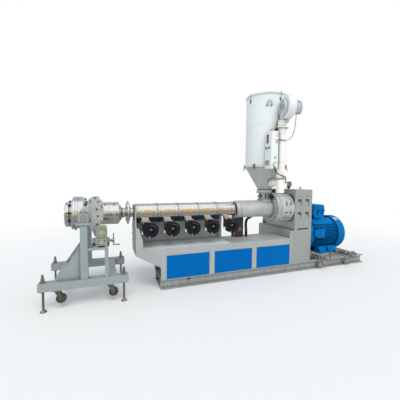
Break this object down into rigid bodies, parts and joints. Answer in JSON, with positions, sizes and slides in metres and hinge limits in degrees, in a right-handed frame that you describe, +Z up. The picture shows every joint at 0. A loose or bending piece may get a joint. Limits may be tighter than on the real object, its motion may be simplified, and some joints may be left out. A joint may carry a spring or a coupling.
{
  "type": "plastic pipe extrusion line",
  "caption": "Single-screw pipe extruder with heated barrel, hopper dryer, gearbox, drive motor and a pipe die head on a wheeled trolley.",
  "frame": {"origin": "centre of the floor rectangle that the whole line covers", "axes": "+X along the machine from the die to the motor, +Y away from the operator side, +Z up"},
  "size_m": [4.99, 1.2886, 2.75],
  "materials": {
    "frame_grey": "satin paint",
    "base_grey": "satin paint",
    "panel_blue": "satin paint",
    "steel_polished": "polished",
    "steel_dark": "machined",
    "cast_silver": "silver paint",
    "black_paint": "gloss",
    "duct_zinc": "satin",
    "motor_blue": "gloss paint",
    "chrome": "polished",
    "dryer_white": "gloss powder coat",
    "dryer_grey": "satin",
    "duct_ivory": "gloss powder coat",
    "trolley_grey": "satin paint",
    "reducer_green": "satin paint",
    "zinc_plated": "zinc plated",
    "caster_rubber": "matte",
    "cable_black": "matte sheath"
  },
  "bodies": {
    "line": {"barrel": "steel_dark", "barrel_end_plate": "frame_grey", "base_channels": "base_grey", "base_cross_members": "base_grey", "bearing_blocks": "trolley_grey", "belt_guard": "frame_grey", "blower_ducts": "duct_zinc", "caster_plates": "zinc_plated", "cooling_blowers": "black_paint", "deck": "frame_grey", "die_adapter": "steel_polished", "die_body": "steel_polished", "die_end_ring": "steel_polished", "die_flange": "cast_silver", "die_heater_bands": "steel_polished", "die_trunnions": "cast_silver", "dryer_blower": "dryer_white", "dryer_cone": "dryer_grey", "dryer_control_box": "dryer_white", "dryer_heater_tube": "duct_ivory", "dryer_latches": "zinc_plated", "dryer_lid": "dryer_white", "dryer_shell": "dryer_white", "fan_cable": "cable_black", "feed_barrel": "cast_silver", "feed_throat": "cast_silver", "front_panels": "panel_blue", "front_wall": "frame_grey", "gear_housing": "frame_grey", "gearbox_case": "cast_silver", "gearbox_drum": "cast_silver", "heater_cable": "cable_black", "heater_covers": "steel_polished", "levelling_screws": "zinc_plated", "motor_body": "motor_blue", "motor_carriage": "frame_grey", "motor_fan_cover": "motor_blue", "motor_feet": "motor_blue", "motor_slides": "frame_grey", "motor_terminal_box": "motor_blue", "rear_shield": "frame_grey", "rear_wall": "frame_grey", "reducer_stand": "trolley_grey", "screw_brackets": "frame_grey", "trolley_beams": "trolley_grey", "trolley_cross_beams": "trolley_grey", "trolley_gussets": "trolley_grey", "trolley_posts": "trolley_grey", "worm_reducer": "reducer_green"},
    "swivel_front_left": {"caster_fork_front_left": "zinc_plated"},
    "swivel_front_right": {"caster_fork_front_right": "zinc_plated"},
    "swivel_rear_left": {"caster_fork_rear_left": "zinc_plated"},
    "swivel_rear_right": {"caster_fork_rear_right": "zinc_plated"},
    "wheel_front_left": {"caster_wheel_front_left": "caster_rubber"},
    "wheel_front_right": {"caster_wheel_front_right": "caster_rubber"},
    "wheel_rear_left": {"caster_wheel_rear_left": "caster_rubber"},
    "wheel_rear_right": {"caster_wheel_rear_right": "caster_rubber"},
    "handwheel_left": {"handwheel_left": "chrome"},
    "handwheel_right": {"handwheel_right": "chrome"},
    "crank": {"reducer_crank": "chrome"}
  },
  "joints": [
    {"name": "swivel_front_left", "type": "hinge", "parent": "line", "child": "swivel_front_left", "pos_m": [-2.317, -0.35075, 0.221], "axis": [0, 0, 1], "continuous": true},
    {"name": "roll_front_left", "type": "hinge", "parent": "swivel_front_left", "child": "wheel_front_left", "pos_m": [-2.281, -0.35075, 0.13], "axis": [0, 1, 0], "continuous": true},
    {"name": "swivel_front_right", "type": "hinge", "parent": "line", "child": "swivel_front_right", "pos_m": [-1.777, -0.35075, 0.221], "axis": [0, 0, 1], "continuous": true},
    {"name": "roll_front_right", "type": "hinge", "parent": "swivel_front_right", "child": "wheel_front_right", "pos_m": [-1.741, -0.35075, 0.13], "axis": [0, 1, 0], "continuous": true},
    {"name": "swivel_rear_left", "type": "hinge", "parent": "line", "child": "swivel_rear_left", "pos_m": [-2.317, 0.35925, 0.221], "axis": [0, 0, 1], "continuous": true},
    {"name": "roll_rear_left", "type": "hinge", "parent": "swivel_rear_left", "child": "wheel_rear_left", "pos_m": [-2.281, 0.35925, 0.13], "axis": [0, 1, 0], "continuous": true},
    {"name": "swivel_rear_right", "type": "hinge", "parent": "line", "child": "swivel_rear_right", "pos_m": [-1.777, 0.35925, 0.221], "axis": [0, 0, 1], "continuous": true},
    {"name": "roll_rear_right", "type": "hinge", "parent": "swivel_rear_right", "child": "wheel_rear_right", "pos_m": [-1.741, 0.35925, 0.13], "axis": [0, 1, 0], "continuous": true},
    {"name": "crank_turn", "type": "hinge", "parent": "line", "child": "crank", "pos_m": [-1.733, -0.30575, 0.721], "axis": [1, 0, 0], "continuous": true},
    {"name": "turn_handwheel_left", "type": "hinge", "parent": "line", "child": "handwheel_left", "pos_m": [1.5, -0.32575, 0.188], "axis": [0, 1, 0], "continuous": true},
    {"name": "turn_handwheel_right", "type": "hinge", "parent": "line", "child": "handwheel_right", "pos_m": [2.08, -0.32575, 0.188], "axis": [0, 1, 0], "continuous": true}
  ]
}
